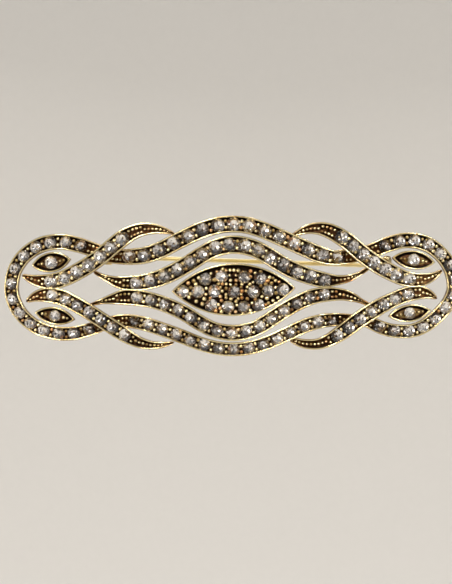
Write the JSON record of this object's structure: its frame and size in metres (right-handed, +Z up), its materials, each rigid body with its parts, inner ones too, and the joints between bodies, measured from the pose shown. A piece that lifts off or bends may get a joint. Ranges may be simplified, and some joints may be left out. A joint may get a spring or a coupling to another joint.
{
  "type": "hair clip",
  "caption": "Openwork hair ornament of interlaced stone-set channel bands round a pave navette, with a hinged wire and a locking catch behind",
  "frame": {"origin": "middle of the space that holds the hair, between the back of the frame and the closed wire, half-way along the wire's line", "axes": "as worn: +X along the clip to the right as its face is seen, +Z up, the stones facing -Y and the hair and the wire towards +Y"},
  "size_m": [0.0921, 0.0104, 0.0278],
  "materials": {
    "antique_gold": "antique gold plate, bright on the rims and dark in the channels",
    "crystal": "clear faceted glass, foiled behind",
    "clip_gold": "polished gold plate"
  },
  "bodies": {
    "frame": {"left_loop_band": "antique_gold", "right_loop_band": "antique_gold", "upper_left_cross_band": "antique_gold", "upper_right_cross_band": "antique_gold", "lower_left_cross_band": "antique_gold", "lower_right_cross_band": "antique_gold", "upper_outer_wave_band": "antique_gold", "lower_outer_wave_band": "antique_gold", "upper_inner_wave_band": "antique_gold", "lower_inner_wave_band": "antique_gold", "centre_setting": "antique_gold", "upper_left_navette": "antique_gold", "upper_right_navette": "antique_gold", "lower_left_navette": "antique_gold", "lower_right_navette": "antique_gold", "left_loop_stones": "crystal", "right_loop_stones": "crystal", "upper_left_cross_stones": "crystal", "upper_right_cross_stones": "crystal", "lower_left_cross_stones": "crystal", "lower_right_cross_stones": "crystal", "upper_outer_wave_stones": "crystal", "lower_outer_wave_stones": "crystal", "upper_inner_wave_stones": "crystal", "lower_inner_wave_stones": "crystal", "pave_stone_01": "crystal", "pave_stone_02": "crystal", "pave_stone_03": "crystal", "pave_stone_04": "crystal", "pave_stone_05": "crystal", "pave_stone_06": "crystal", "pave_stone_07": "crystal", "pave_stone_08": "crystal", "pave_stone_09": "crystal", "pave_stone_10": "crystal", "pave_stone_11": "crystal", "pave_stone_12": "crystal", "pave_stone_13": "crystal", "pave_stone_14": "crystal", "pave_stone_15": "crystal", "upper_left_navette_stone": "crystal", "upper_right_navette_stone": "crystal", "lower_left_navette_stone": "crystal", "lower_right_navette_stone": "crystal", "hinge_bracket": "clip_gold", "hinge_rivet": "clip_gold", "catch": "clip_gold"},
    "wire": {"clip_wire": "clip_gold"},
    "lock": {"lock_sleeve": "clip_gold"}
  },
  "joints": [
    {"name": "wire_hinge", "type": "hinge", "parent": "frame", "child": "wire", "pos_m": [-0.0255, 0.0034, 0.00084], "axis": [0.0331, 0, 0.9995], "range_deg": [0, 100]},
    {"name": "lock_turn", "type": "hinge", "parent": "frame", "child": "lock", "pos_m": [0.0303, 0.0034, -0.00101], "axis": [0.9995, 0, -0.0331], "range_deg": [0, 100]}
  ]
}
